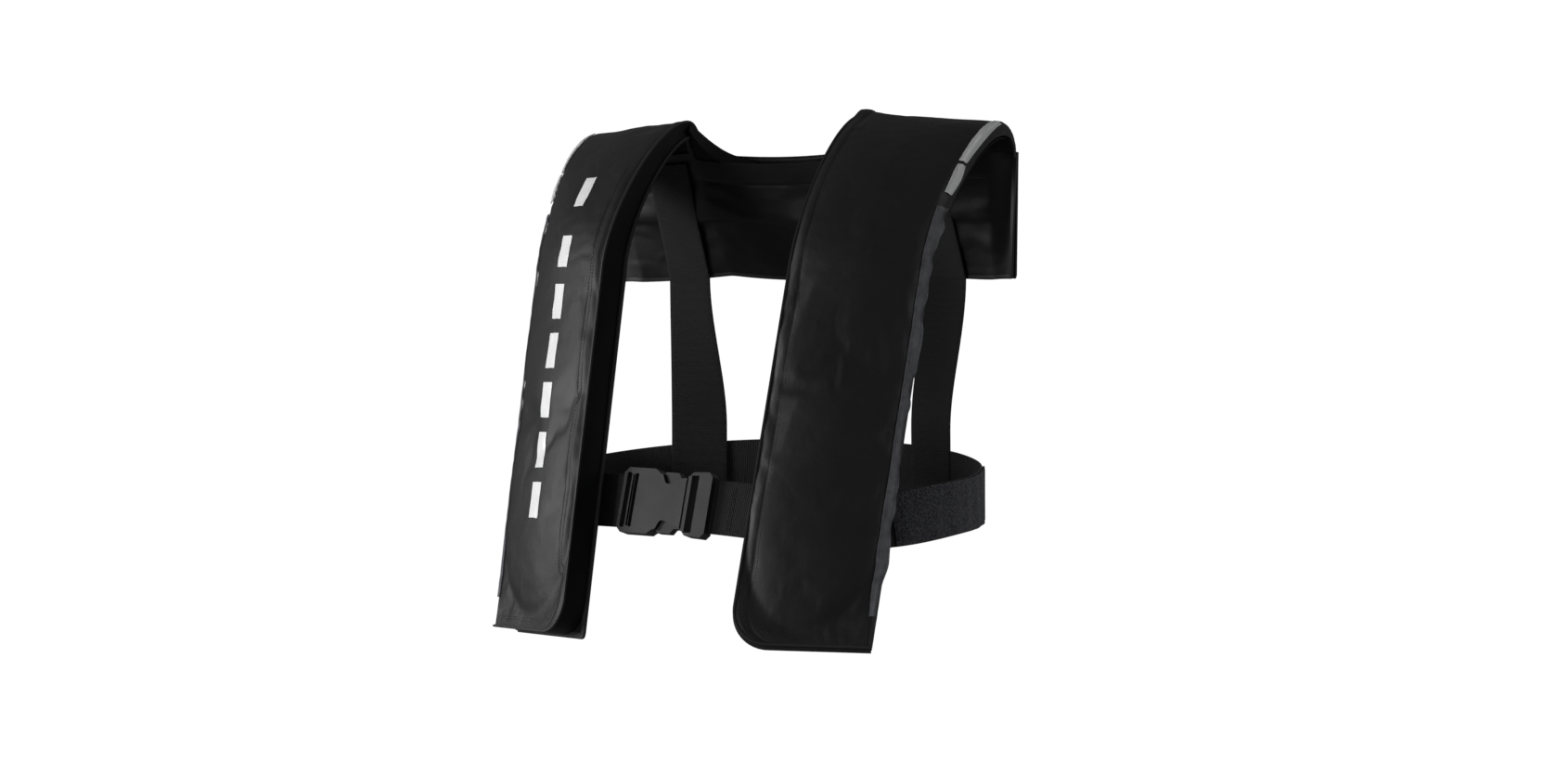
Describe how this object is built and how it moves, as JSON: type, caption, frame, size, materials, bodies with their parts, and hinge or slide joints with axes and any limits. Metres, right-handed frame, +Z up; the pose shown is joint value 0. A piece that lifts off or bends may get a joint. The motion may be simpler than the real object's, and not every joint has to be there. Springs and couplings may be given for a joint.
{
  "type": "inflatable life jacket",
  "caption": "Folded inflatable life jacket with two covered bladder lobes, padded neck yoke, back straps, waist belt and a side-release buckle.",
  "frame": {"origin": "on the wearer's mid-plane at the height and depth where the two lobes cross the tops of the shoulders", "axes": "+Z up, +X towards the wearer's left, -Y the way the wearer faces"},
  "size_m": [0.4662, 0.3338, 0.4836],
  "materials": {
    "coated_nylon": "black coated nylon, soft sheen",
    "webbing": "black woven webbing, matt",
    "lining": "black lining cloth, matt",
    "closure_tape": "dark grey hook-and-loop pile",
    "reflective": "silver retroreflective film",
    "bladder_cloth": "yellow welded polyurethane-coated cloth",
    "acetal": "matt charcoal moulding",
    "red_plastic": "red moulding",
    "steel": "plated steel"
  },
  "bodies": {
    "jacket": {"backing_panel_left": "lining", "side_gusset_left": "coated_nylon", "shoulder_cover_left": "coated_nylon", "hook_tape_left": "closure_tape", "back_strap_left": "webbing", "backing_panel_right": "lining", "side_gusset_right": "coated_nylon", "shoulder_cover_right": "coated_nylon", "hook_tape_right": "closure_tape", "back_strap_right": "webbing", "reflective_dash_6": "reflective", "reflective_dash_7": "reflective", "yoke_cover": "coated_nylon", "yoke_lining": "lining", "yoke_rim": "coated_nylon", "neck_gusset": "coated_nylon", "bladder": "bladder_cloth", "waist_belt": "webbing", "velour_face": "closure_tape", "belt_slider": "acetal", "belt_keeper_left": "coated_nylon", "belt_keeper_right": "coated_nylon", "buckle_female": "acetal", "inflator_body": "acetal", "inflator_flange": "acetal", "oral_tube": "acetal", "whistle_clip": "acetal"},
    "flap_left": {"cover_flap_left": "coated_nylon", "loop_tape_left": "closure_tape"},
    "flap_right": {"cover_flap_right": "coated_nylon", "loop_tape_right": "closure_tape", "reflective_dash_1": "reflective", "reflective_dash_2": "reflective", "reflective_dash_3": "reflective", "reflective_dash_4": "reflective", "reflective_dash_5": "reflective"},
    "buckle_male": {"buckle_male": "acetal", "front_strap": "webbing"},
    "arm_upper": {"buckle_arm_upper": "acetal"},
    "arm_lower": {"buckle_arm_lower": "acetal"},
    "gas_cylinder": {"gas_cylinder": "steel"},
    "lever": {"inflator_lever": "acetal"},
    "pin": {"piercing_pin": "steel"},
    "pull": {"pull_handle": "red_plastic", "pull_strap": "webbing"},
    "poppet": {"valve_poppet": "red_plastic"},
    "tube_cap": {"tube_cap": "acetal"},
    "whistle": {"whistle": "red_plastic"}
  },
  "joints": [
    {"name": "flap_left_open", "type": "hinge", "parent": "jacket", "child": "flap_left", "pos_m": [0.08873, -0.26257, -0.45431], "axis": [-0.0336, -0.2784, -0.9599], "range_deg": [0, 110]},
    {"name": "flap_right_open", "type": "hinge", "parent": "jacket", "child": "flap_right", "pos_m": [-0.08873, -0.26257, -0.45431], "axis": [-0.0336, 0.2784, 0.9599], "range_deg": [0, 110]},
    {"name": "buckle_pull_apart", "type": "slide", "parent": "jacket", "child": "buckle_male", "axis": [0.9993, -0.0272, -0.0274], "range_m": [0, 0.045], "deforming": ["front_strap", "buckle_arm_upper", "buckle_arm_lower"]},
    {"name": "squeeze_upper", "type": "hinge", "parent": "buckle_male", "child": "arm_upper", "pos_m": [0.00761, -0.19163, -0.32108], "axis": [-0.0185, -0.9603, 0.2785], "range_deg": [0, 8], "stiffness_Nm_per_rad": 0.35},
    {"name": "squeeze_lower", "type": "hinge", "parent": "buckle_male", "child": "arm_lower", "pos_m": [0.00637, -0.2018, -0.35622], "axis": [0.0185, 0.9603, -0.2785], "range_deg": [0, 8], "stiffness_Nm_per_rad": 0.35},
    {"name": "cylinder_screw", "type": "hinge", "parent": "jacket", "child": "gas_cylinder", "pos_m": [0.17434, -0.16812, -0.29198], "axis": [0.0336, 0.2784, 0.9599], "continuous": true},
    {"name": "lever_swing", "type": "hinge", "parent": "jacket", "child": "lever", "pos_m": [0.17292, -0.17995, -0.33278], "axis": [0.4369, -0.8679, 0.2364], "range_deg": [0, 75]},
    {"name": "pin_stroke", "type": "slide", "parent": "jacket", "child": "pin", "axis": [0.0336, 0.2784, 0.9599], "range_m": [0, 0.005]},
    {"name": "handle_pull", "type": "slide", "parent": "jacket", "child": "pull", "axis": [-0.0336, -0.2784, -0.9599], "range_m": [0, 0.025], "deforming": ["pull_strap"]},
    {"name": "poppet_press", "type": "slide", "parent": "jacket", "child": "poppet", "axis": [0.0336, -0.2784, -0.9599], "range_m": [0, 0.003], "stiffness_N_per_m": 300},
    {"name": "cap_off", "type": "slide", "parent": "jacket", "child": "tube_cap", "axis": [-0.0336, 0.2784, 0.9599], "range_m": [0, 0.022]},
    {"name": "whistle_out", "type": "slide", "parent": "jacket", "child": "whistle", "axis": [-0.0336, 0.2784, 0.9599], "range_m": [0, 0.02]}
  ],
  "couplings": [
    {"joint": "lever_swing", "follows": "handle_pull", "rad_per_m": 52},
    {"joint": "pin_stroke", "follows": "handle_pull", "ratio": 0.2}
  ]
}
